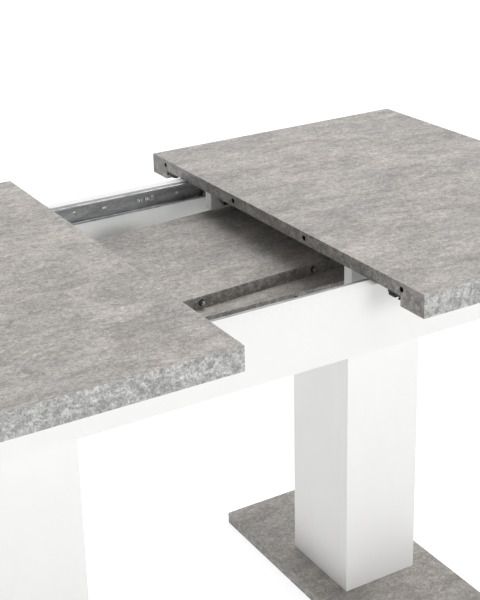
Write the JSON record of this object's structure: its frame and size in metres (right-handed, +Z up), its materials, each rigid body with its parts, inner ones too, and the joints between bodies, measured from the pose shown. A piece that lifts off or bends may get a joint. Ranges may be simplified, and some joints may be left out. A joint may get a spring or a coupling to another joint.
{
  "type": "extendable dining table",
  "caption": "Dining table whose two top halves slide apart on ball-bearing slides over a white frame on two box columns, with loose leaves kept inside.",
  "frame": {"origin": "on the floor under the middle of the table, midway between the two top halves", "axes": "+X along the table towards the right half, +Y across it towards the far side, +Z up"},
  "size_m": [1.387, 0.8, 0.74],
  "materials": {
    "concrete_laminate": "matt grey concrete-pattern laminate on board",
    "concrete_edging": "matt grey concrete-pattern edge band",
    "white_panel": "smooth white melamine",
    "raw_board": "uncoated chipboard",
    "galvanised_steel": "zinc-plated pressed steel",
    "bright_steel": "bright zinc and polished steel",
    "wood_pin": "bright locating pin",
    "black_plastic": "matt black moulded plastic",
    "grey_felt": "pressed felt"
  },
  "bodies": {
    "cages_left": {"ball_cages_left": "galvanised_steel", "slide_balls_left": "bright_steel"},
    "cages_right": {"ball_cages_right": "galvanised_steel", "slide_balls_right": "bright_steel"},
    "frame": {"base_edging": "concrete_edging", "base_plate_left": "concrete_laminate", "base_plate_right": "concrete_laminate", "column_left_blocks": "raw_board", "column_left_east_panel": "white_panel", "column_left_far_panel": "white_panel", "column_left_near_panel": "white_panel", "column_left_west_panel": "white_panel", "column_right_blocks": "raw_board", "column_right_east_panel": "white_panel", "column_right_far_panel": "white_panel", "column_right_near_panel": "white_panel", "column_right_west_panel": "white_panel", "corner_blocks": "raw_board", "cross_rail": "white_panel", "end_apron_left": "white_panel", "end_apron_right": "white_panel", "floor_glides": "grey_felt", "frame_screws": "bright_steel", "leaf_pins": "wood_pin", "lower_leaf_board": "concrete_laminate", "lower_leaf_edge_bands": "concrete_edging", "mounting_plate_left": "white_panel", "mounting_plate_right": "white_panel", "side_apron_far": "white_panel", "side_apron_near": "white_panel", "slide_rail_far": "galvanised_steel", "slide_rail_near": "galvanised_steel", "upper_leaf_board": "concrete_laminate", "upper_leaf_edge_bands": "concrete_edging"},
    "top_left": {"batten_left_far": "white_panel", "batten_left_near": "white_panel", "catch_strikers": "black_plastic", "doubling_strips_left": "concrete_laminate", "edge_bands_left": "concrete_edging", "leaf_guides_left": "black_plastic", "locating_pins": "wood_pin", "runner_brackets_left": "galvanised_steel", "slide_runner_left_far": "galvanised_steel", "slide_runner_left_near": "galvanised_steel", "top_board_left": "concrete_laminate", "top_screws_left": "bright_steel"},
    "top_right": {"batten_right_far": "white_panel", "batten_right_near": "white_panel", "catch_bodies": "black_plastic", "doubling_strips_right": "concrete_laminate", "edge_bands_right": "concrete_edging", "leaf_guides_right": "black_plastic", "runner_brackets_right": "galvanised_steel", "slide_runner_right_far": "galvanised_steel", "slide_runner_right_near": "galvanised_steel", "top_board_right": "concrete_laminate", "top_screws_right": "bright_steel"},
    "far_lever": {"catch_lever_far": "black_plastic"},
    "near_lever": {"catch_lever_near": "black_plastic"}
  },
  "joints": [
    {"name": "left_half_slide", "type": "slide", "parent": "frame", "child": "top_left", "axis": [-1, 0, 0], "range_m": [-0.14325, 0.1665]},
    {"name": "right_half_slide", "type": "slide", "parent": "frame", "child": "top_right", "axis": [1, 0, 0], "range_m": [-0.14325, 0.1665]},
    {"name": "left_cage_slide", "type": "slide", "parent": "frame", "child": "cages_left", "axis": [-1, 0, 0], "range_m": [-0.07162, 0.08325]},
    {"name": "right_cage_slide", "type": "slide", "parent": "frame", "child": "cages_right", "axis": [1, 0, 0], "range_m": [-0.07162, 0.08325]},
    {"name": "near_lever_swing", "type": "hinge", "parent": "top_right", "child": "near_lever", "pos_m": [0.1495, -0.323, 0.7136], "axis": [0, 0, 1], "range_deg": [-90, 0]},
    {"name": "far_lever_swing", "type": "hinge", "parent": "top_right", "child": "far_lever", "pos_m": [0.1495, 0.323, 0.7136], "axis": [0, 0, 1], "range_deg": [0, 90]}
  ],
  "couplings": [
    {"joint": "left_cage_slide", "follows": "left_half_slide", "ratio": 0.5},
    {"joint": "right_cage_slide", "follows": "right_half_slide", "ratio": 0.5}
  ]
}
